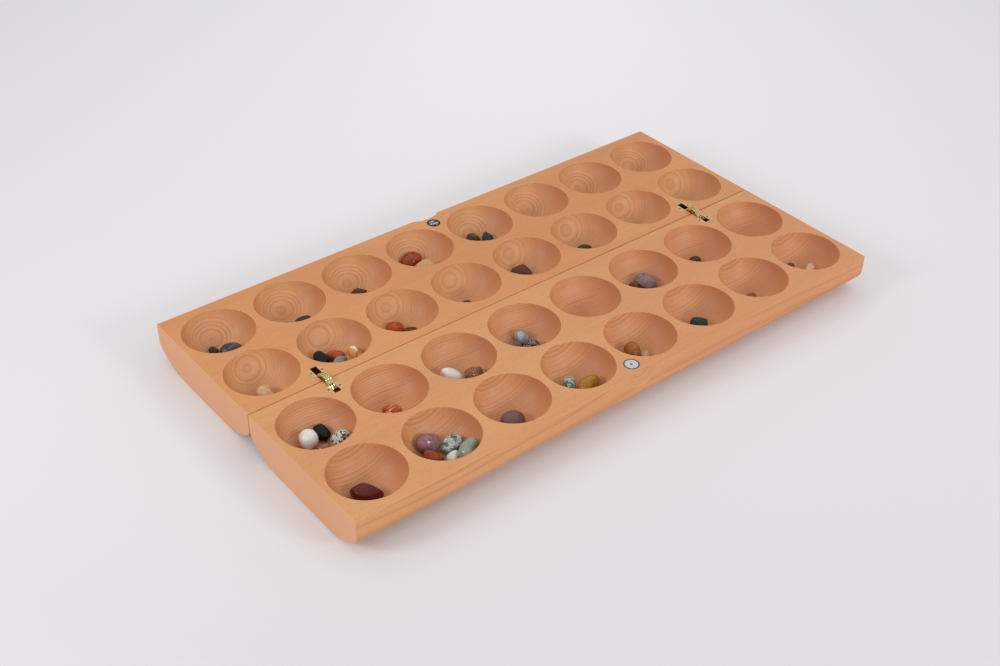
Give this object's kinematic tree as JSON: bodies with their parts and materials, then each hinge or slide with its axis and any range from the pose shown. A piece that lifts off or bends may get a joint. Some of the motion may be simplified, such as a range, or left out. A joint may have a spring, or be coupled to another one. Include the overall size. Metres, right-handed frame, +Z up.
{
  "type": "folding bao game board",
  "caption": "Folding hardwood game board: two halves with rows of round pits, cylinder hinges that let it lie flat or shut, a magnet catch, finger scoops and loose polished playing stones.",
  "frame": {"origin": "on the floor under the middle of the seam, board laid open", "axes": "+X along the seam to the right, +Y towards the far half, +Z up"},
  "size_m": [0.5, 0.2666, 0.0373],
  "materials": {
    "beech_near": "oiled, pores open",
    "beech_far": "oiled, pores open",
    "barrel_brass": "polished",
    "pin_brass": "turned",
    "link_brass": "polished",
    "cup_nickel": "nickel plated",
    "magnet_nickel": "nickel plated",
    "strike_steel": "polished",
    "stone_a1": "tumble polished",
    "stone_a2": "tumble polished",
    "stone_a3": "tumble polished",
    "stone_a4": "tumble polished",
    "stone_a5": "tumble polished",
    "stone_b1": "tumble polished",
    "stone_b2": "tumble polished",
    "stone_b3": "tumble polished",
    "stone_b4": "tumble polished",
    "stone_b5": "tumble polished",
    "stone_b6": "tumble polished",
    "stone_c1": "tumble polished",
    "stone_c2": "tumble polished",
    "stone_c3": "tumble polished",
    "stone_c4": "tumble polished",
    "stone_c6": "tumble polished",
    "stone_c7": "tumble polished",
    "stone_d1": "tumble polished",
    "stone_d2": "tumble polished",
    "stone_d3": "tumble polished",
    "stone_d4": "tumble polished",
    "stone_d5": "tumble polished",
    "stone_d6": "tumble polished",
    "stone_d7": "tumble polished",
    "stone_d8": "tumble polished"
  },
  "bodies": {
    "near": {"near_half": "beech_near", "barrel_near_left": "barrel_brass", "barrel_near_right": "barrel_brass", "pivot_pin_near_left": "pin_brass", "pivot_pin_near_right": "pin_brass", "magnet_cup": "cup_nickel", "magnet_disc": "magnet_nickel", "stones_c1": "stone_c1", "stones_c2": "stone_c2", "stones_c3": "stone_c3", "stones_c4": "stone_c4", "stones_c6": "stone_c6", "stones_c7": "stone_c7", "stones_d1": "stone_d1", "stones_d2": "stone_d2", "stones_d3": "stone_d3", "stones_d4": "stone_d4", "stones_d5": "stone_d5", "stones_d6": "stone_d6", "stones_d7": "stone_d7", "stones_d8": "stone_d8"},
    "far": {"far_half": "beech_far", "barrel_far_left": "barrel_brass", "barrel_far_right": "barrel_brass", "pivot_pin_far_left": "pin_brass", "pivot_pin_far_right": "pin_brass", "strike_disc": "strike_steel", "stones_a1": "stone_a1", "stones_a2": "stone_a2", "stones_a3": "stone_a3", "stones_a4": "stone_a4", "stones_a5": "stone_a5", "stones_b1": "stone_b1", "stones_b2": "stone_b2", "stones_b3": "stone_b3", "stones_b4": "stone_b4", "stones_b5": "stone_b5", "stones_b6": "stone_b6"},
    "links_near_left": {"links_near_left": "link_brass", "centre_pin_left": "pin_brass", "slider_pin_near_left": "pin_brass"},
    "links_far_left": {"links_far_left": "link_brass", "slider_pin_far_left": "pin_brass"},
    "links_near_right": {"links_near_right": "link_brass", "centre_pin_right": "pin_brass", "slider_pin_near_right": "pin_brass"},
    "links_far_right": {"links_far_right": "link_brass", "slider_pin_far_right": "pin_brass"}
  },
  "joints": [
    {"name": "fold", "type": "hinge", "parent": "near", "child": "far", "pos_m": [0, 0, 0.0331], "axis": [1, 0, 0], "range_deg": [0, 180]},
    {"name": "near_links_left", "type": "hinge", "parent": "near", "child": "links_near_left", "pos_m": [-0.186, -0.0063, 0.0311], "axis": [1, 0, 0], "range_deg": [0, 129.01]},
    {"name": "far_links_left", "type": "hinge", "parent": "far", "child": "links_far_left", "pos_m": [-0.186, 0.0063, 0.0311], "axis": [1, 0, 0], "range_deg": [-129.01, 0]},
    {"name": "near_links_right", "type": "hinge", "parent": "near", "child": "links_near_right", "pos_m": [0.186, -0.0063, 0.0311], "axis": [1, 0, 0], "range_deg": [0, 129.01]},
    {"name": "far_links_right", "type": "hinge", "parent": "far", "child": "links_far_right", "pos_m": [0.186, 0.0063, 0.0311], "axis": [1, 0, 0], "range_deg": [-129.01, 0]}
  ],
  "couplings": [
    {"joint": "near_links_left", "follows": "fold", "ratio": 0.71672},
    {"joint": "far_links_left", "follows": "fold", "ratio": -0.71672},
    {"joint": "near_links_right", "follows": "fold", "ratio": 0.71672},
    {"joint": "far_links_right", "follows": "fold", "ratio": -0.71672}
  ]
}
